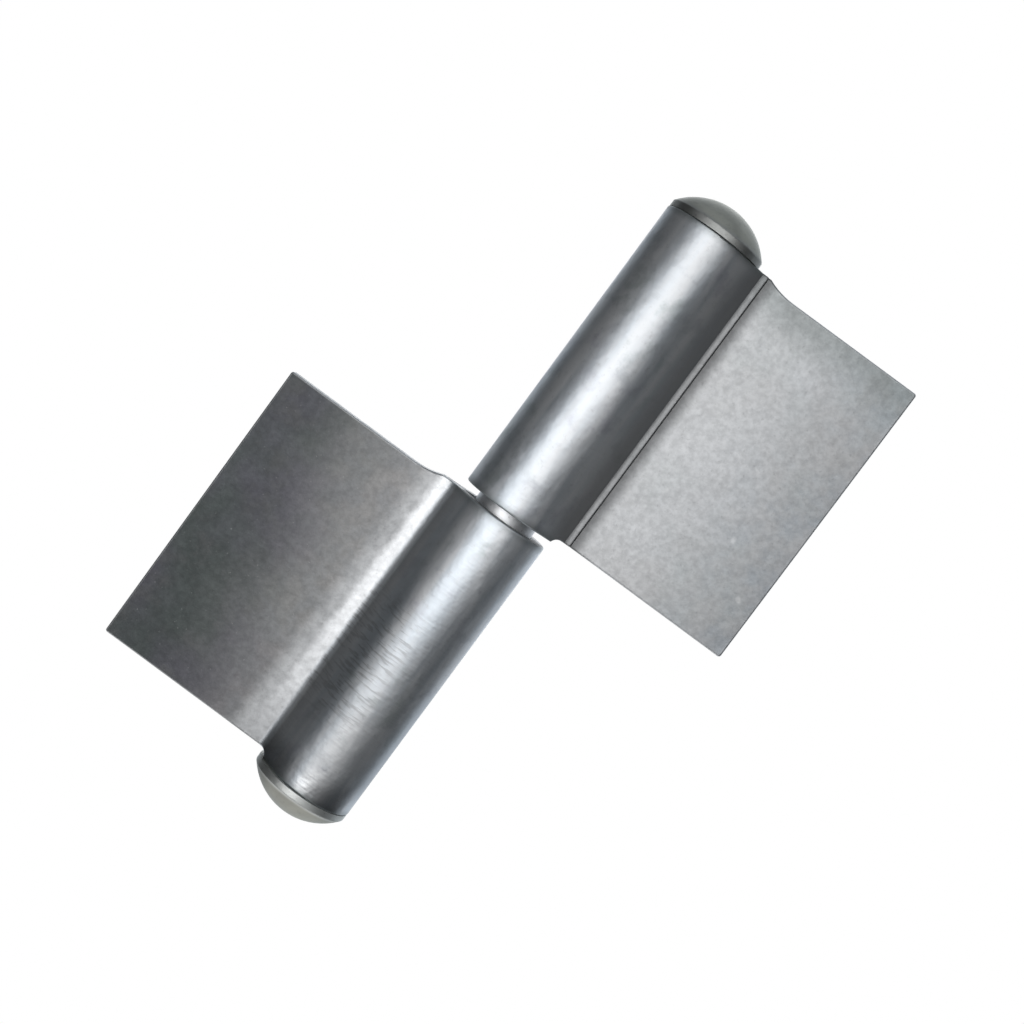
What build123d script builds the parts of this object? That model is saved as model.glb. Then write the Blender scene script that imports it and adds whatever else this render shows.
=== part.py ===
from build123d import *
from math import atan2, cos, degrees, hypot, radians, sin, sqrt, tan
import os

# Weld-on lift-off hinge, opened flat. Millimetres, Z up along the pin.
# The origin is on the pin axis, midway between the two domed heads. The lower half has its leaf
# towards -X and holds the pin. The upper half has its leaf towards +X and turns on the pin.

# Rolled leaves
sheet = 2.5
knuckle_length = 49.25
knuckle_gap = 1.5
leaf_reach = 37.5  # from the pin axis
leaf_offset = 0.0  # from the pin axis to the middle of the flat sheet
leaf_setback = 0.9  # how far the leaf's ends stop short of the knuckle's
leaf_corner = 0.4
bend_slope = 50.0  # degrees from the leaf, of the flank between the roll and the bend
bend_radius = 1.8
flare_radius = 12.0  # where the leaf's upper end runs out into the knuckle's end
step_radius = 1.2  # where the leaf's lower end steps down to the knuckle's end
edge_round = 0.3

# The lip that closes each roll on its leaf
lip_slope = 43.0  # degrees from the leaf
toe_height = 0.45
toe_land = 1.1
toe_round = 0.3
crease_round = 0.3
seam_gap = 0.1
toe_to_flat = 0.1  # from the toe's tip to where the leaf is flat
toe_to_flare = 0.4

# Pin
pin_diameter = 10.0
running_clearance = 0.08
pin_chamfer = 0.6

# Domed heads, on the pin's foot and on the cap
head_overhang = 0.4  # past the outside of the lower half's roll
head_offset = 0.45  # from the pin axis, towards the leaf of the head's own half
head_rim = 1.0
dome_rise = 3.9
head_edge_round = 0.35
shank_length = 6.9

# Ball between the pin's tip and the cap's shank
ball_diameter = 8.0
ball_clearance = 0.05
cup_depth = 0.9

# Worked out from the sizes above
half_gap = knuckle_gap / 2
half_height = half_gap + knuckle_length
pin_radius = pin_diameter / 2
running_bore = pin_radius + running_clearance
bend_side = leaf_offset + sheet / 2
seam_side = leaf_offset - sheet / 2
toe_top = seam_side - toe_height
flank_slope = radians(bend_slope)
slope = radians(lip_slope)
head_radius = pin_radius + sheet + head_overhang
ball_radius = ball_diameter / 2
cup_radius = ball_radius + ball_clearance
shank_bottom = half_height - shank_length
ball_centre = shank_bottom + cup_depth - cup_radius
pin_top = ball_centre + cup_depth - cup_radius
touching = 0.001  # how near counts as lying on a surface, when edges are chosen

os.makedirs("parts", exist_ok=True)


# Distance from the pin axis, along the leaf, to the crease at the foot of the lip
def crease_place(bore_radius):
    roll_radius = bore_radius + sheet
    return roll_radius / sin(slope) + toe_top / tan(slope)


# Outline of the rolled sheet, its leaf towards the sketch's +X: flat leaf, bend, straight flank,
# roll round the bore, and a straight lip that comes down on the leaf and ends in a flattened toe
def rolled_outline(bore_radius):
    roll_radius = bore_radius + sheet
    flank_normal = Vector(sin(flank_slope), cos(flank_slope))
    lip_normal = Vector(sin(slope), -cos(slope))
    wrap = 180 + bend_slope + lip_slope

    # The bend's hollow side, and its outside, which runs on to just past the toe
    hollow_y = bend_side + bend_radius
    hollow_x = (roll_radius + bend_radius - hollow_y * cos(flank_slope)) / sin(flank_slope)
    hollow = Vector(hollow_x, hollow_y)
    crease = Vector(crease_place(bore_radius), toe_top)
    toe_tip = crease + Vector(toe_land, 0)
    flat_start = toe_tip.X + toe_to_flat
    outer_reach = flat_start * sin(flank_slope) + seam_side * cos(flank_slope) - bore_radius
    outer_radius = outer_reach / (1 - cos(flank_slope))
    outer = Vector(flat_start, seam_side + outer_radius)

    # The lip's inner face runs on until it is the seam gap away from the outside of the bend
    seam_radius = outer_radius + seam_gap
    lip_start = lip_normal * bore_radius
    lip_way = Vector(cos(slope), sin(slope))
    along = (outer - lip_start).dot(lip_way)
    lip_length = along - sqrt(along**2 - (outer - lip_start).length ** 2 + seam_radius**2)
    lip_end = lip_start + lip_way * lip_length
    toe_base = Vector(toe_tip.X, outer.Y - sqrt(seam_radius**2 - toe_to_flat**2))
    seam_angle = degrees(atan2(toe_base.Y - outer.Y, toe_base.X - outer.X))
    lip_angle = degrees(atan2(lip_end.Y - outer.Y, lip_end.X - outer.X))

    with BuildSketch() as outline:
        with BuildLine():
            Line((leaf_reach, seam_side), (leaf_reach, bend_side))
            Line((leaf_reach, bend_side), (hollow_x, bend_side))
            CenterArc(hollow, bend_radius, 270, -bend_slope)
            Line(hollow - flank_normal * bend_radius, flank_normal * roll_radius)
            CenterArc((0, 0), roll_radius, 90 - bend_slope, wrap)
            Line(lip_normal * roll_radius, crease)
            Line(crease, toe_tip)
            Line(toe_tip, toe_base)
            CenterArc(outer, seam_radius, seam_angle, (lip_angle - seam_angle + 180) % 360 - 180)
            Line(lip_end, lip_start)
            CenterArc((0, 0), bore_radius, 90 - bend_slope, wrap)
            Line(flank_normal * bore_radius, outer - flank_normal * outer_radius)
            CenterArc(outer, outer_radius, 270 - bend_slope, bend_slope)
            Line((flat_start, seam_side), (leaf_reach, seam_side))
        make_face()
        fillet(outline.vertices().sort_by_distance(crease)[0], crease_round)
        fillet(outline.vertices().sort_by_distance(toe_tip)[0], toe_round)
    return outline.sketch


# Strips beyond both ends of the leaf, with the curves that lead out to the knuckle's ends.
# The sketch's X is along the leaf and its Y is along the pin, from the middle of the knuckle.
def end_strips(bore_radius):
    flare_start = crease_place(bore_radius) + toe_land + toe_to_flare
    ends = ((1, flare_start, flare_radius), (-1, bore_radius + sheet, step_radius))
    with BuildSketch() as strips:
        for end, start, radius in ends:
            leaf_end = end * (knuckle_length / 2 - leaf_setback)
            knuckle_end = end * knuckle_length / 2
            beyond = end * (knuckle_length / 2 + leaf_setback)
            reached = start + sqrt(radius**2 - (radius - leaf_setback) ** 2)
            with BuildLine():
                Polyline(
                    (reached, leaf_end),
                    (leaf_reach + leaf_setback, leaf_end),
                    (leaf_reach + leaf_setback, beyond),
                    (start, beyond),
                    (start, knuckle_end),
                )
                RadiusArc((start, knuckle_end), (reached, leaf_end), -end * radius)
            make_face()
    return strips.sketch


# The edges of the leaf's rim and of the roll's outside, all but the toe and what it covers.
# The side is 1 for a leaf towards +X, and -1 for one turned half a turn about the pin.
def outside_edges(leaf, bore_radius, side):
    toe_end = crease_place(bore_radius) + toe_land

    def is_outside(edge):
        middle = edge @ 0.5
        x, y = side * middle.X, side * middle.Y
        if abs(edge.tangent_at(0.5).Z) > 1 - touching:
            return x > leaf_reach - touching
        under_toe = 0 < x < toe_end + touching and toe_top - touching < y < bend_side - touching
        return hypot(x, y) > bore_radius + sheet - touching and not under_toe

    return leaf.edges().filter_by(Axis.Y, reverse=True).filter_by(is_outside)


# The two corners at the leaf's tip, as edges through the sheet
def tip_corners(leaf):
    return leaf.edges().filter_by(Axis.Y).filter_by(lambda edge: abs(edge.center().X) > leaf_reach - touching)


# Half section of a domed head, right of the sketch's Y axis, with its flat face on the X axis
def head_section():
    dome_radius = (head_radius**2 + dome_rise**2) / (2 * dome_rise)
    dome_centre = head_rim + dome_rise - dome_radius
    dome_angle = degrees(atan2(head_rim - dome_centre, head_radius))
    with BuildSketch() as section:
        with BuildLine():
            Polyline((0, head_rim + dome_rise), (0, 0), (head_radius, 0), (head_radius, head_rim))
            CenterArc((0, dome_centre), dome_radius, dome_angle, 90 - dome_angle)
        make_face()
        fillet(section.vertices().sort_by_distance((head_radius, head_rim))[0], head_edge_round)
    return section.sketch


# Lower half: its bore grips the pin
lower_end = Plane(origin=(0, 0, -half_height), x_dir=(-1, 0, 0), z_dir=(0, 0, 1))
lower_side = Plane(origin=(0, 0, -half_gap - knuckle_length / 2), x_dir=(-1, 0, 0), z_dir=(0, 1, 0))
with BuildPart() as lower_leaf:
    with BuildSketch(lower_end):
        add(rolled_outline(pin_radius))
    extrude(amount=knuckle_length)
    with BuildSketch(lower_side):
        add(end_strips(pin_radius))
    extrude(amount=pin_radius + sheet, both=True, mode=Mode.SUBTRACT)
    fillet(tip_corners(lower_leaf), leaf_corner)
    fillet(outside_edges(lower_leaf, pin_radius, -1), edge_round)
lower_leaf.part.label = "lower_leaf"
export_step(lower_leaf.part, "parts/lower_leaf.step")

# Upper half: its bore turns on the pin
upper_end = Plane(origin=(0, 0, half_gap), x_dir=(1, 0, 0), z_dir=(0, 0, 1))
upper_side = Plane(origin=(0, 0, half_gap + knuckle_length / 2), x_dir=(1, 0, 0), z_dir=(0, -1, 0))
with BuildPart() as upper_leaf:
    with BuildSketch(upper_end):
        add(rolled_outline(running_bore))
    extrude(amount=knuckle_length)
    with BuildSketch(upper_side):
        add(end_strips(running_bore))
    extrude(amount=running_bore + sheet, both=True, mode=Mode.SUBTRACT)
    fillet(tip_corners(upper_leaf), leaf_corner)
    fillet(outside_edges(upper_leaf, running_bore, 1), edge_round)
upper_leaf.part.label = "upper_leaf"
export_step(upper_leaf.part, "parts/upper_leaf.step")

# Pin, pressed up into the lower knuckle, with a domed head at its foot and a cup in its tip
foot = Plane(origin=(-head_offset, 0, -half_height), x_dir=(1, 0, 0), z_dir=(0, 1, 0))
with BuildPart() as pin:
    with BuildSketch(foot):
        add(head_section())
    revolve(axis=Axis(foot.origin, (0, 0, 1)))
    with BuildSketch(Plane.XY.offset(-half_height)):
        Circle(pin_radius)
    extrude(amount=half_height + pin_top)
    chamfer(pin.edges().filter_by(GeomType.CIRCLE).sort_by(Axis.Z)[-1], pin_chamfer)
    with Locations((0, 0, ball_centre)):
        Sphere(cup_radius, mode=Mode.SUBTRACT)
pin.part.label = "pin"
export_step(pin.part, "parts/pin.step")

# Ball that carries the upper half's weight
with BuildPart() as bearing_ball:
    with Locations((0, 0, ball_centre)):
        Sphere(ball_radius)
bearing_ball.part.label = "bearing_ball"
export_step(bearing_ball.part, "parts/bearing_ball.step")

# Cap, its shank pressed into the top of the upper knuckle down to the ball
crown = Plane(origin=(head_offset, 0, half_height), x_dir=(1, 0, 0), z_dir=(0, -1, 0))
with BuildPart() as top_cap:
    with BuildSketch(crown):
        add(head_section())
    revolve(axis=Axis(crown.origin, (0, 0, 1)))
    with BuildSketch(Plane.XY.offset(shank_bottom)):
        Circle(running_bore)
    extrude(amount=half_height - shank_bottom)
    with Locations((0, 0, ball_centre)):
        Sphere(cup_radius, mode=Mode.SUBTRACT)
top_cap.part.label = "top_cap"
export_step(top_cap.part, "parts/top_cap.step")
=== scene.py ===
import math
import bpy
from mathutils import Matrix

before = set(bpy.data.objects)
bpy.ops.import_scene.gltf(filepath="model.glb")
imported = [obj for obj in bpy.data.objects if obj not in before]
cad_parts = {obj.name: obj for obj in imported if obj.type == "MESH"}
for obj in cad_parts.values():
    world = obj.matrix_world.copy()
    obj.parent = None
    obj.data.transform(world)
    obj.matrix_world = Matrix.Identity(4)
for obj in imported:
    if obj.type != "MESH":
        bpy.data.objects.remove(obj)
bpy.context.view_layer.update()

from types import SimpleNamespace

import bpy
from mathutils import Matrix, Quaternion, Vector

MM = 0.001

# Camera: in front of the hinge, a little above it, turned about its own line of sight so that
# the pin leans to the upper right. The pin's middle lies slightly off the picture's centre.
IMAGE_PX = 1024
SENSOR_MM = 36
FOCAL_PX = 1788
VIEW_DISTANCE = 262 * MM
VIEW_ELEVATION = math.radians(3.8)
VIEW_ROLL = math.radians(36.42)
ORIGIN_RIGHT_PX = -5.8
ORIGIN_UP_PX = -1.8
NEAREST_SEEN = 0.01
FARTHEST_SEEN = 20

back = Vector((0, -math.cos(VIEW_ELEVATION), math.sin(VIEW_ELEVATION)))
level_right = Vector((1, 0, 0))
level_up = back.cross(level_right)
view_right = level_right * math.cos(VIEW_ROLL) + level_up * math.sin(VIEW_ROLL)
view_up = level_up * math.cos(VIEW_ROLL) - level_right * math.sin(VIEW_ROLL)
px_at_origin = VIEW_DISTANCE / FOCAL_PX
aim = -(view_right * ORIGIN_RIGHT_PX + view_up * ORIGIN_UP_PX) * px_at_origin

lens = bpy.data.cameras.new("view")
lens.sensor_width = SENSOR_MM
lens.lens = FOCAL_PX / IMAGE_PX * SENSOR_MM
lens.clip_start = NEAREST_SEEN
lens.clip_end = FARTHEST_SEEN
camera = bpy.data.objects.new("view", lens)
bpy.context.scene.collection.objects.link(camera)
turn = Matrix((view_right, view_up, back)).transposed()
camera.matrix_world = Matrix.Translation(aim + back * VIEW_DISTANCE) @ turn.to_4x4()
bpy.context.scene.camera = camera


class Tree:
    """A node tree with short calls to add and join nodes."""

    def __init__(self, tree):
        self.tree = tree
        tree.nodes.clear()

    def add(self, kind, inputs=None, **settings):
        """A new node. Each of its inputs is given a plain value or another node's socket."""
        node = self.tree.nodes.new(kind)
        for name, value in settings.items():
            setattr(node, name, value)
        for name, value in (inputs or {}).items():
            if isinstance(value, bpy.types.NodeSocket):
                self.tree.links.new(value, node.inputs[name])
            else:
                node.inputs[name].default_value = value
        return node

    def axes(self, vector):
        """The X, Y and Z of a vector."""
        return self.add("ShaderNodeSeparateXYZ", {"Vector": vector}).outputs[:]

    def math(self, operation, a, b=None):
        inputs = {0: a} if b is None else {0: a, 1: b}
        return self.add("ShaderNodeMath", inputs, operation=operation).outputs[0]

    def ramp(self, value, span, results=(0.0, 1.0)):
        """Smooth step from one result to the other while a value crosses a span."""
        inputs = {"Value": value}
        inputs["From Min"], inputs["From Max"] = span
        inputs["To Min"], inputs["To Max"] = results
        node = self.add("ShaderNodeMapRange", inputs, interpolation_type="SMOOTHSTEP")
        return node.outputs["Result"]

    def part(self, value, span, most):
        """Smooth step from 0 to a part of 1."""
        return self.ramp(value, span, (0.0, most))

    def mix(self, factor, a, b):
        """Between two colours. Its sockets go by number, as several of them share a name."""
        return self.add("ShaderNodeMix", {0: factor, 6: a, 7: b}, data_type="RGBA").outputs[2]

    def blend(self, factor, a, b):
        """Between two plain numbers."""
        return self.add("ShaderNodeMix", {0: factor, 2: a, 3: b}, data_type="FLOAT").outputs[0]

    def noise(self, place, scale, detail=3.0, roughness=0.55):
        inputs = {"Vector": place, "Scale": scale, "Detail": detail, "Roughness": roughness}
        return self.add("ShaderNodeTexNoise", inputs).outputs["Fac"]

    def stretched(self, place, factors):
        """Coordinates scaled by a factor along each axis."""
        node = self.add("ShaderNodeVectorMath", {0: place, 1: factors}, operation="MULTIPLY")
        return node.outputs[0]

    def shade(self, colour, factor):
        """A colour made lighter or darker by a factor."""
        inputs = {"Vector": colour, "Scale": factor}
        return self.add("ShaderNodeVectorMath", inputs, operation="SCALE").outputs[0]

    def bump(self, height, depth, strength=1.0, over=None):
        """Bumps from a height, laid over those of another bump where one is given."""
        inputs = {"Height": height, "Strength": strength, "Distance": depth}
        if over:
            inputs["Normal"] = over
        return self.add("ShaderNodeBump", inputs).outputs["Normal"]

    def metal(self, base, rough, normal):
        inputs = {"Base Color": base, "Metallic": 1.0, "Roughness": rough, "Normal": normal}
        return self.add("ShaderNodeBsdfPrincipled", inputs).outputs[0]


def grey(value, tint=(1.0, 1.0, 1.0)):
    return (value * tint[0], value * tint[1], value * tint[2], 1.0)


# Tints
COOL = (0.985, 1.0, 1.02)
BLUISH = (0.93, 1.0, 1.07)
VIOLET = (0.97, 0.97, 1.11)
GREENISH = (0.91, 1.03, 1.02)
OLIVE = (1.0, 1.01, 0.91)
SAGE = (0.985, 1.01, 0.985)
WARM = (1.02, 1.0, 0.99)

# Colours of the roll. Pairs are the two colours that a noise mixes.
ROLL_STEEL = (grey(0.55, BLUISH), grey(0.65, COOL))
ROLL_STAIN = (grey(0.40, GREENISH), grey(0.42, VIOLET))
ROLL_PITS = grey(0.40, COOL)
RUB_MARK = grey(0.28, COOL)
# Painted shade on the roll's flanks, which stands in for the dim sides they reflect
FLANK_PAINTED_SHADE = grey(0.20, COOL)
# Painted shade at the roll's ends, by the gap and under the heads
END_PAINTED_SHADE = grey(0.22, GREENISH)

# Colours of the leaf's bend side
# Painted shade: the bend side goes from the first scale colours by the bend to the much darker
# ones at the tip, a painted fall-off of the light; the scale's patches and hues are its own
SCALE_BY_BEND = (grey(0.285, WARM), grey(0.345, COOL))
SCALE_AT_TIP = (grey(0.080, GREENISH), grey(0.094, VIOLET))
BROKEN_SCALE = grey(0.13, COOL)
WORN_STEEL = grey(0.44, COOL)
# The burnish along the bend is painted lighter near the gap than towards the ends: painted light
BURNISHED_STEEL_AND_PAINTED_LIGHT = (grey(0.46, COOL), grey(0.72, COOL))

# Colours of the leaf's seam side
# Painted light: the seam side is lighter by the seam and darker towards its tip, a painted
# fall-off of the light
STEEL_BY_SEAM = (grey(0.455, COOL), grey(0.57, COOL))
STEEL_AT_TIP = (grey(0.27, BLUISH), grey(0.365, COOL))
SEAM_SIDE_STAIN = (grey(0.34, GREENISH), grey(0.38, WARM))
HANDLED_STEEL = grey(0.22, GREENISH)
LIGHT_SPECK = grey(0.75)
# Painted shade in the seam, on the toe and just past it
SEAM_PAINTED_SHADE = grey(0.13, COOL)

# Colours of the leaf's grain, its rounded rims and the sheared ends
DARK_GRAIN = grey(0.12)
LIGHT_GRAIN = grey(0.70)
# A painted glint on the leaf's rounded rims
PAINTED_RIM_GLINT = grey(0.75, COOL)
SHEARED_STEEL = (grey(0.30, COOL), grey(0.42, COOL))

# Colours of the pin, its heads and the ball
BAR_STEEL = (grey(0.80, COOL), grey(0.90, COOL))
DOME_STEEL = (grey(0.33, OLIVE), grey(0.45, OLIVE))
# Painted light: the foot's rim is lighter than the top's
HEAD_RIM_PAINTED_LIGHT = (grey(0.70, SAGE), grey(0.36, SAGE))
# Painted shade to either side of the heads
HEAD_PAINTED_SHADE = grey(0.17, OLIVE)
PIN_GRAIN = grey(0.14)
BALL_STEEL = (grey(0.62), grey(0.70))

# Noise patterns, in lumps to the metre, and how the drawn-out ones are stretched
CLOUDS = 70.0
STAINS = 75.0
DENTS = 130.0
PATCHES = 260.0
SCUFFS = 300.0
HEAD_PATCHES = 300.0
SPECKS = 340.0
WAVES = 480.0
MOTTLING = 900.0
GRAINS = 1500.0
BALL_SPECKS = 1800.0
RINGS = 2600.0
ALONG_PIN = (1.0, 1.0, 0.12)
ROUND_PIN = (0.12, 0.12, 1.0)
FINER_THROUGH_SHEET = (1.0, 3.0, 1.0)

# Spans of a noise, whose values lie mostly between 0.25 and 0.75
WHOLE = (0.3, 0.7)
MIDDLE = (0.35, 0.65)
MOST = (0.4, 0.7)
HALF = (0.45, 0.7)
THIRD = (0.5, 0.7)
FEW = (0.55, 0.75)
FEWEST = (0.755, 0.82)
RING_LINES = (0.5, 0.62)
PIN_GRAINS = (0.58, 0.72)
HIGH_GRAINS = (0.58, 0.74)
LOW_GRAINS = (0.34, 0.24)

# Results of a ramp that falls over its span
FALLING = (1.0, 0.0)

# Spans outwards from the pin's axis, on the roll
FLANK = (4.0 * MM, 8.5 * MM)
FREE_LIMB = (5.6 * MM, 6.9 * MM)
BEND_EDGE = (7.9 * MM, 8.6 * MM)
ROLL_TO_LEAF = (9.0 * MM, 9.6 * MM)

# Spans outwards from the pin's axis, on the leaf
TOE_INNER_EDGE = (9.4 * MM, 9.8 * MM)
TOE_OUTER_EDGE = (10.0 * MM, 10.35 * MM)
TOE_TIP = (10.38 * MM, 10.42 * MM)
SEAM_PAINTED_SHADE_FADE = (10.5 * MM, 12.7 * MM)
BURNISHED_EDGE = (10.4 * MM, 12.0 * MM)
WORN_EDGE = (12.0 * MM, 15.0 * MM)
RIM_START = (12 * MM, 16 * MM)
SCALE_AND_PAINTED_DARKENING = (13 * MM, 40 * MM)
DARKENING = (14 * MM, 40 * MM)
TIP_RIM = (37.15 * MM, 37.45 * MM)

# Spans along the pin, from the middle of the gap to either side
GAP_PAINTED_SHADE = (0.75 * MM, 2.2 * MM)
GAP_END_RIM = (1.7 * MM, 2.0 * MM)
PAINTED_LIGHT_REACH = (28 * MM, 56 * MM)
HANDLED_END = (43 * MM, 51 * MM)
HEAD_END_PAINTED_SHADE = (48.6 * MM, 50 * MM)
HEAD_END_RIM = (48.75 * MM, 49.05 * MM)
BAR_TO_HEAD = (49.0 * MM, 49.9 * MM)
RIM_TO_DOME = (50.9 * MM, 51.6 * MM)

# Spans up the pin
FOOT_END = (-49 * MM, -44 * MM)
LOWER_ROLL = (-50 * MM, 0.0)
UPPER_ROLL_TOP = (22 * MM, 44 * MM)
LOWER_TO_UPPER = (-1 * MM, 1 * MM)

# Spans across the pin, and through the middle of the leaf's sheet
LEFT_TO_RIGHT = (-1 * MM, 1 * MM)
HEAD_LEFT = (-2.5 * MM, -7.5 * MM)
HEAD_RIGHT = (3.5 * MM, 8.0 * MM)
SHEET_MIDDLE = (-0.5 * MM, 0.5 * MM)

# Rub marks go round the lower roll at this height, mostly on its left
RUB_HEIGHT = -29 * MM
RUB_REACH = (6 * MM, 13 * MM)
RUB_SIDE = (2.0 * MM, -1.0 * MM)

# Painted light on the roll: its brightness at its foot, its middle and its top, standing in for
# how the lamps fall along the pin; and the shades of the leaf's mottling
FOOT_PAINTED_LIGHT = 0.96
MIDDLE_PAINTED_LIGHT = 1.2
TOP_PAINTED_LIGHT = 1.06
MOTTLE_SHADES = (0.89, 1.11)

# How much shows of the painted shade, the rub marks and the painted glint on the rims
HEAVY_PAINTED_SHADE = 0.85
BEND_FLANK_PAINTED_SHADE = 0.8
TOE_PAINTED_SHADE = 0.5
GAP_PAINTED_SHADE_SHARE = 0.5
HEAD_END_PAINTED_SHADE_SHARE = 0.6
RUB_SHARE = 0.5
RUB_SHARE_OFF_SIDE = 0.15
RIM_SHARE = 0.8

# How far the noise shifts the edges of the scale and its painted darkening, of the burnish and of
# its painted light, and of the handling, and how much they slant
SCALE_SHIFT = 10 * MM
SCALE_SLANT = 0.10
BURNISH_SHIFT = 0.6 * MM
BURNISH_SLANT = 0.02
BRIGHT_SHIFT = 8 * MM
HANDLED_SHIFT = 4 * MM

# How near a normal's Z is to 1 on a sheared end
SHEARED = (0.95, 0.995)

# Roughnesses. Pairs are the two ends of an uneven one.
ROLL_ROUGH = (0.46, 0.54)
FLANK_ROUGH = 0.75
FOOT_END_ROUGH = 0.36
LEAF_ROUGH = (0.52, 0.60)
PIN_ROUGH = (0.46, 0.56)
BALL_ROUGH = (0.16, 0.26)

# Depths of the bumps
DENT_DEPTH = 0.14 * MM
WAVE_DEPTH = 0.065 * MM
GRAIN_DEPTH = 0.03 * MM
PIN_GRAIN_DEPTH = 0.06 * MM
BALL_SPECK_DEPTH = 0.02 * MM


def finish_material(name, build):
    material = bpy.data.materials.new(name)
    material.use_nodes = True
    t = Tree(material.node_tree)
    t.add("ShaderNodeOutputMaterial", {"Surface": build(t)})
    return material


def leaf_places(t, place):
    """Where a point lies: outwards from the pin, along it, and on which face of the sheet."""
    x, y, z = t.axes(place)
    towards_bend_side = t.math("MULTIPLY", y, t.math("SIGN", x))
    return SimpleNamespace(
        x=x,
        z=z,
        out=t.math("ABSOLUTE", x),
        along=t.math("ABSOLUTE", z),
        bend_face=t.ramp(towards_bend_side, SHEET_MIDDLE),
    )


def leaf_patterns(t, place):
    stain = t.noise(t.stretched(place, FINER_THROUGH_SHEET), STAINS, detail=2.0)
    return SimpleNamespace(
        cloud=t.noise(place, CLOUDS),
        hue=t.ramp(stain, MIDDLE),
        patch=t.noise(place, PATCHES, detail=4.0, roughness=0.6),
        mottle=t.noise(place, MOTTLING, detail=4.0, roughness=0.7),
        grain=t.noise(place, GRAINS, roughness=0.65),
        scuff=t.noise(t.stretched(place, ALONG_PIN), SCUFFS),
        ring=t.noise(t.stretched(place, ROUND_PIN), RINGS, detail=2.0),
        speck=t.noise(place, SPECKS, detail=1.0),
    )


def flank_painted_shade(t, at):
    """Share of painted shade on the roll's flanks, which stands in for the dim sides they reflect.
    The free limb and the edge by the bend are left light.
    """
    leaf_side = t.ramp(t.math("MULTIPLY", at.x, t.math("SIGN", at.z)), LEFT_TO_RIGHT)
    free_limb = t.part(at.out, FREE_LIMB, most=0.9)
    bend_edge = t.math("MULTIPLY", t.ramp(at.out, BEND_EDGE), at.bend_face)
    unshaded_edges = t.blend(leaf_side, free_limb, bend_edge)
    heaviest = t.blend(at.bend_face, HEAVY_PAINTED_SHADE, BEND_FLANK_PAINTED_SHADE)
    painted_shade = t.math("MULTIPLY", t.ramp(at.out, FLANK), heaviest)
    return t.math("MULTIPLY", painted_shade, t.math("SUBTRACT", 1.0, unshaded_edges))


def roll_colour(t, at, pattern, painted_shade):
    """The roll: scuffed along the pin, stained in patches, painted lightest near the gap as
    painted light, with painted shade on its flanks and at its ends.
    """
    roll = t.mix(t.ramp(pattern.scuff, WHOLE), *ROLL_STEEL)
    roll = t.mix(t.part(pattern.patch, THIRD, most=0.5), roll, t.mix(pattern.hue, *ROLL_STAIN))
    roll = t.mix(t.part(pattern.mottle, FEW, most=0.4), roll, ROLL_PITS)
    # Painted light: the roll is lightest near the gap and darker towards its foot and its top
    lower_painted_light = t.ramp(at.z, LOWER_ROLL, (FOOT_PAINTED_LIGHT, MIDDLE_PAINTED_LIGHT))
    upper_painted_light = t.ramp(at.z, UPPER_ROLL_TOP, (MIDDLE_PAINTED_LIGHT, TOP_PAINTED_LIGHT))
    roll = t.shade(roll, t.math("MINIMUM", lower_painted_light, upper_painted_light))
    from_rubbing = t.math("ABSOLUTE", t.math("SUBTRACT", at.z, RUB_HEIGHT))
    rubbing = t.ramp(from_rubbing, RUB_REACH, (RUB_SHARE, 0.0))
    on_side = t.ramp(at.x, RUB_SIDE, (RUB_SHARE_OFF_SIDE, 1.0))
    rubbing = t.math("MULTIPLY", rubbing, on_side)
    marks = t.math("MULTIPLY", t.ramp(pattern.ring, RING_LINES), rubbing)
    roll = t.mix(marks, roll, RUB_MARK)
    # Painted shade on the flanks
    roll = t.mix(painted_shade, roll, FLANK_PAINTED_SHADE)
    # Painted shade at the ends, by the gap and under the heads
    gap_painted_shade = t.ramp(at.along, GAP_PAINTED_SHADE, (GAP_PAINTED_SHADE_SHARE, 0.0))
    head_end_painted_shade = t.part(at.along, HEAD_END_PAINTED_SHADE, most=HEAD_END_PAINTED_SHADE_SHARE)
    return t.mix(t.math("MAXIMUM", gap_painted_shade, head_end_painted_shade), roll, END_PAINTED_SHADE)


def bend_side_burnish(t, at, pattern):
    """How worn and how burnished the bend side is by its bend, and how far along the pin the
    burnish is bright; that brightness is painted light, fading away from the gap.
    """
    uneven = t.math("ADD", at.out, t.math("MULTIPLY", pattern.patch, BURNISH_SHIFT))
    from_bend = t.math("SUBTRACT", uneven, t.math("MULTIPLY", at.along, BURNISH_SLANT))
    uneven_along = t.math("ADD", at.along, t.math("MULTIPLY", pattern.patch, BRIGHT_SHIFT))
    return SimpleNamespace(
        worn=t.ramp(from_bend, WORN_EDGE, FALLING),
        burnished=t.ramp(from_bend, BURNISHED_EDGE, FALLING),
        bright=t.ramp(uneven_along, PAINTED_LIGHT_REACH, FALLING),
    )


def bend_side_colour(t, at, pattern, burnish):
    """The bend side: scale, painted darker towards the tip as a painted fall-off of the light,
    worn off along the bend.
    """
    bend_scale = t.mix(t.ramp(pattern.patch, MIDDLE), *SCALE_BY_BEND)
    tip_scale = t.mix(pattern.hue, *SCALE_AT_TIP)
    tip_scale = t.mix(t.part(pattern.patch, HALF, most=0.6), tip_scale, BROKEN_SCALE)
    away = t.math("ADD", at.out, t.math("MULTIPLY", pattern.cloud, SCALE_SHIFT))
    away = t.math("ADD", away, t.math("MULTIPLY", at.along, SCALE_SLANT))
    # Painted shade: darker towards the tip
    scaled = t.mix(t.ramp(away, SCALE_AND_PAINTED_DARKENING), bend_scale, tip_scale)
    worn = t.mix(burnish.worn, scaled, WORN_STEEL)
    # Painted light: the burnish is lighter near the gap
    return t.mix(burnish.burnished, worn, t.mix(burnish.bright, *BURNISHED_STEEL_AND_PAINTED_LIGHT))


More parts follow.
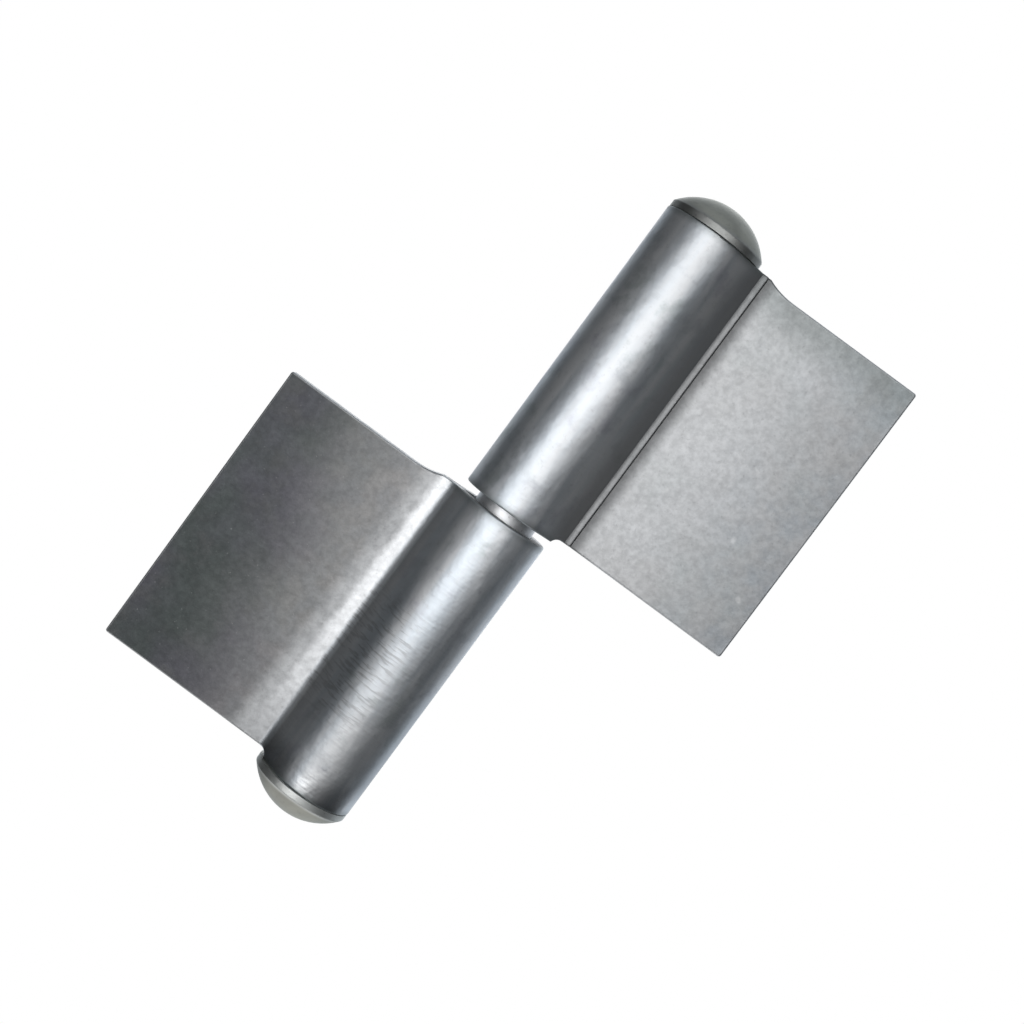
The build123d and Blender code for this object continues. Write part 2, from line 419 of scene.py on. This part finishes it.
def seam_side_colour(t, at, pattern):
    """The seam side: clean, painted darker towards the tip as a painted fall-off of the light,
    with painted shade in the seam and on the toe.
    """
    by_seam = t.mix(t.ramp(pattern.patch, WHOLE), *STEEL_BY_SEAM)
    at_tip = t.mix(t.ramp(pattern.patch, WHOLE), *STEEL_AT_TIP)
    # Painted fall-off of the light towards the tip
    clean = t.mix(t.ramp(at.out, DARKENING), by_seam, at_tip)
    stain = t.mix(pattern.hue, *SEAM_SIDE_STAIN)
    clean = t.mix(t.part(pattern.cloud, MOST, most=0.3), clean, stain)
    uneven_along = t.math("ADD", at.along, t.math("MULTIPLY", pattern.patch, HANDLED_SHIFT))
    clean = t.mix(t.part(uneven_along, HANDLED_END, most=0.55), clean, HANDLED_STEEL)
    clean = t.mix(t.part(pattern.speck, FEWEST, most=0.24), clean, LIGHT_SPECK)
    # Painted shade in the seam and on the toe
    inner_edge = t.ramp(at.out, TOE_INNER_EDGE, (HEAVY_PAINTED_SHADE, TOE_PAINTED_SHADE))
    outer_edge = t.ramp(at.out, TOE_OUTER_EDGE, (TOE_PAINTED_SHADE, HEAVY_PAINTED_SHADE))
    on_toe = t.math("MAXIMUM", inner_edge, outer_edge)
    past_toe = t.ramp(at.out, SEAM_PAINTED_SHADE_FADE, (HEAVY_PAINTED_SHADE, 0.0))
    painted_shade = t.blend(t.ramp(at.out, TOE_TIP), on_toe, past_toe)
    return t.mix(painted_shade, clean, SEAM_PAINTED_SHADE)


def leaf_colour(t, at, pattern, burnish):
    """Both sides of the leaf, with its grain and a painted glint on its rims."""
    seam_side = seam_side_colour(t, at, pattern)
    leaf = t.mix(at.bend_face, seam_side, bend_side_colour(t, at, pattern, burnish))
    leaf = t.shade(leaf, t.ramp(pattern.mottle, WHOLE, MOTTLE_SHADES))
    leaf = t.mix(t.part(pattern.grain, HIGH_GRAINS, most=0.22), leaf, DARK_GRAIN)
    leaf = t.mix(t.part(pattern.grain, LOW_GRAINS, most=0.15), leaf, LIGHT_GRAIN)
    # Painted glint on the rims
    gap_rim = t.ramp(at.along, GAP_END_RIM, FALLING)
    end_rim = t.math("MAXIMUM", gap_rim, t.ramp(at.along, HEAD_END_RIM))
    end_rim = t.math("MULTIPLY", end_rim, t.ramp(at.out, RIM_START))
    rim = t.math("MAXIMUM", t.ramp(at.out, TIP_RIM), end_rim)
    return t.mix(t.math("MULTIPLY", rim, RIM_SHARE), leaf, PAINTED_RIM_GLINT)


def leaf_finish(t):
    """Rolled sheet: burnished on the roll and along the bend, dull on the leaf.

    The leaf's bend side has scale and is painted darker towards its tip, a painted fall-off of the
    light. Its seam side is lighter, with painted shade along the seam. The sheared ends are dark.
    """
    coords = t.add("ShaderNodeTexCoord")
    place = coords.outputs["Object"]
    at = leaf_places(t, place)
    pattern = leaf_patterns(t, place)
    painted_shade = flank_painted_shade(t, at)
    burnish = bend_side_burnish(t, at, pattern)
    on_leaf = t.ramp(at.out, ROLL_TO_LEAF)
    facing_along = t.axes(coords.outputs["Normal"])[2]
    sheared = t.ramp(t.math("ABSOLUTE", facing_along), SHEARED)

    roll = roll_colour(t, at, pattern, painted_shade)
    base = t.mix(on_leaf, roll, leaf_colour(t, at, pattern, burnish))
    base = t.mix(sheared, base, t.mix(t.ramp(pattern.mottle, WHOLE), *SHEARED_STEEL))

    roll_rough = t.blend(painted_shade, t.ramp(pattern.scuff, WHOLE, ROLL_ROUGH), FLANK_ROUGH)
    roll_rough = t.blend(t.ramp(at.z, FOOT_END, FALLING), roll_rough, FOOT_END_ROUGH)
    leaf_rough = t.ramp(pattern.patch, WHOLE, LEAF_ROUGH)
    polished = t.math("MULTIPLY", burnish.burnished, burnish.bright)
    polished = t.math("MULTIPLY", at.bend_face, polished)
    dull = t.math("MULTIPLY", on_leaf, t.math("SUBTRACT", 1.0, polished))
    rough = t.blend(t.math("MAXIMUM", dull, sheared), roll_rough, leaf_rough)

    normal = t.bump(t.noise(place, DENTS, detail=2.0), DENT_DEPTH)
    normal = t.bump(t.noise(place, WAVES, detail=2.0), WAVE_DEPTH, over=normal)
    grain = t.blend(on_leaf, pattern.ring, pattern.grain)
    normal = t.bump(grain, GRAIN_DEPTH, strength=0.6, over=normal)
    return t.metal(base, rough, normal)


def pin_finish(t):
    """Turned bar, with dull olive grey heads, painted darker to either side as painted shade, and
    the foot's rim painted lighter than the top's as painted light.
    """
    place = t.add("ShaderNodeTexCoord").outputs["Object"]
    x, _, z = t.axes(place)
    along = t.math("ABSOLUTE", z)
    patch = t.noise(place, HEAD_PATCHES, detail=4.0, roughness=0.6)
    grain = t.noise(place, GRAINS, roughness=0.65)
    bar = t.mix(t.ramp(patch, WHOLE), *BAR_STEEL)
    dome = t.mix(t.ramp(patch, WHOLE), *DOME_STEEL)
    # Painted light: the foot's rim is lighter than the top's
    rim = t.mix(t.ramp(z, LOWER_TO_UPPER), *HEAD_RIM_PAINTED_LIGHT)
    head = t.mix(t.ramp(along, RIM_TO_DOME), rim, dome)
    # Painted shade to either side of the heads
    left_painted_shade = t.part(x, HEAD_LEFT, most=0.6)
    right_painted_shade = t.part(x, HEAD_RIGHT, most=0.3)
    head = t.mix(t.math("MAXIMUM", left_painted_shade, right_painted_shade), head, HEAD_PAINTED_SHADE)
    base = t.mix(t.ramp(along, BAR_TO_HEAD), bar, head)
    base = t.mix(t.part(grain, PIN_GRAINS, most=0.3), base, PIN_GRAIN)
    rough = t.ramp(patch, WHOLE, PIN_ROUGH)
    return t.metal(base, rough, t.bump(grain, PIN_GRAIN_DEPTH, strength=0.3))


def ball_finish(t):
    """Ground hardened steel."""
    place = t.add("ShaderNodeTexCoord").outputs["Object"]
    speck = t.noise(place, BALL_SPECKS)
    base = t.mix(t.ramp(speck, WHOLE), *BALL_STEEL)
    rough = t.ramp(speck, WHOLE, BALL_ROUGH)
    return t.metal(base, rough, t.bump(speck, BALL_SPECK_DEPTH, strength=0.1))


def dress(node, material):
    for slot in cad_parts[node].material_slots:
        slot.material = material


leaf_steel = finish_material("leaf_steel", leaf_finish)
pin_steel = finish_material("pin_steel", pin_finish)
ball_steel = finish_material("ball_steel", ball_finish)
for node in ("lower_leaf", "upper_leaf"):
    dress(node, leaf_steel)
for node in ("pin", "top_cap"):
    dress(node, pin_steel)
dress("bearing_ball", ball_steel)

# Floor, a disc far enough below the hinge that it stays out of the picture
FLOOR_Z = -0.3
FLOOR_RADIUS = 0.22
FLOOR_SIDES = 96
FLOOR_FADE = (0.3 * FLOOR_RADIUS, 0.98 * FLOOR_RADIUS)
GLOW_SHARES = (0.8, 1.0)
FLOOR_PAINT = grey(0.85)
WHITE = grey(1.0)
FLATTENED = (1.0, 1.0, 0.0)


def seen_by_eye(t):
    """1 on camera, glossy and transmission rays."""
    path = t.add("ShaderNodeLightPath")
    seen = t.math("MAXIMUM", path.outputs["Is Camera Ray"], path.outputs["Is Glossy Ray"])
    return t.math("MAXIMUM", seen, path.outputs["Is Transmission Ray"])


def pale_floor(t):
    """Diffuse, with a share of plain glow to the eye, so that it looks white but keeps its shadow.

    The glow grows to the full share at the disc's rim, so that the rim doesn't show.
    """
    place = t.stretched(t.add("ShaderNodeTexCoord").outputs["Object"], FLATTENED)
    from_middle = t.add("ShaderNodeVectorMath", {0: place}, operation="LENGTH").outputs["Value"]
    share = t.math("MULTIPLY", seen_by_eye(t), t.ramp(from_middle, FLOOR_FADE, GLOW_SHARES))
    pale = t.add("ShaderNodeBsdfDiffuse", {"Color": FLOOR_PAINT})
    glow = t.add("ShaderNodeEmission", {"Color": WHITE, "Strength": 1.0})
    inputs = {0: share, 1: pale.outputs[0], 2: glow.outputs[0]}
    return t.add("ShaderNodeMixShader", inputs).outputs[0]


angles = [2 * math.pi * i / FLOOR_SIDES for i in range(FLOOR_SIDES)]
corners = [(FLOOR_RADIUS * math.cos(a), FLOOR_RADIUS * math.sin(a), FLOOR_Z) for a in angles]
floor_mesh = bpy.data.meshes.new("floor")
floor_mesh.from_pydata(corners, [], [range(FLOOR_SIDES)])
floor_mesh.materials.append(finish_material("pale_floor", pale_floor))
floor = bpy.data.objects.new("floor", floor_mesh)
bpy.context.scene.collection.objects.link(floor)

# How far a ray points to the back, and up or down, and how bright the world is at both ends
TO_THE_BACK = (0.15, 0.99, 0.0)
BACK_EDGE = (0.25, 0.8)
BACK_GLOW = (0.03, 0.9)
HIGH_EDGE = (0.35, 0.95)
HIGH_GLOW = (0.0, 0.4)
DIFFUSE_GLOW = 0.25


def studio(t):
    """White to the eye. Reflections see it bright behind, above and below, and dim to the sides.

    Diffuse rays see an even dim glow.
    """
    ray = t.add("ShaderNodeTexCoord").outputs["Generated"]
    lean = t.add("ShaderNodeVectorMath", {0: ray, 1: TO_THE_BACK}, operation="DOT_PRODUCT")
    behind = t.ramp(lean.outputs["Value"], BACK_EDGE, BACK_GLOW)
    above = t.ramp(t.math("ABSOLUTE", t.axes(ray)[2]), HIGH_EDGE, HIGH_GLOW)
    on_camera = t.add("ShaderNodeLightPath").outputs["Is Camera Ray"]
    brightness = t.math("MAXIMUM", on_camera, t.math("MAXIMUM", behind, above))
    tint = t.mix(on_camera, grey(1.0, BLUISH), WHITE)
    eye = t.add("ShaderNodeBackground", {"Color": tint, "Strength": brightness})
    dim = t.add("ShaderNodeBackground", {"Color": WHITE, "Strength": DIFFUSE_GLOW})
    inputs = {0: seen_by_eye(t), 1: dim.outputs[0], 2: eye.outputs[0]}
    return t.add("ShaderNodeMixShader", inputs).outputs[0]


world = bpy.data.worlds.new("studio")
world.use_nodes = True
world_tree = Tree(world.node_tree)
world_tree.add("ShaderNodeOutputWorld", {"Surface": studio(world_tree)})
bpy.context.scene.world = world


def softbox(name, place, size, radiance, lean):
    """A rectangular soft light that faces the origin, leaning to one side by an angle.

    Its strength is given as the brightness of its face.
    """
    data = bpy.data.lights.new(name, "AREA")
    data.shape = "RECTANGLE"
    data.size, data.size_y = size
    data.energy = radiance * math.pi * size[0] * size[1]
    light = bpy.data.objects.new(name, data)
    light.location = place
    light.rotation_mode = "QUATERNION"
    towards_origin = (-Vector(place)).to_track_quat("-Z", "Y")
    light.rotation_quaternion = towards_origin @ Quaternion((0, 0, 1), lean)
    light.visible_camera = False
    bpy.context.scene.collection.objects.link(light)


# Two large lights, one in front and one behind, and a small one low in front, on the left
LARGE = (0.52, 0.72)
SMALL = (0.26, 0.26)
LARGE_LEAN = math.radians(-37)
FRONT_RADIANCE = 2.6
BACK_RADIANCE = 1.6

softbox("front_light", (0.02, -0.7, 0.13), LARGE, FRONT_RADIANCE, LARGE_LEAN)
softbox("front_fill", (-0.25, -0.7, -0.1), SMALL, FRONT_RADIANCE, 0.0)
softbox("back_light", (0.02, 0.7, 0.13), LARGE, BACK_RADIANCE, LARGE_LEAN)

bpy.context.scene.view_settings.view_transform = "Standard"
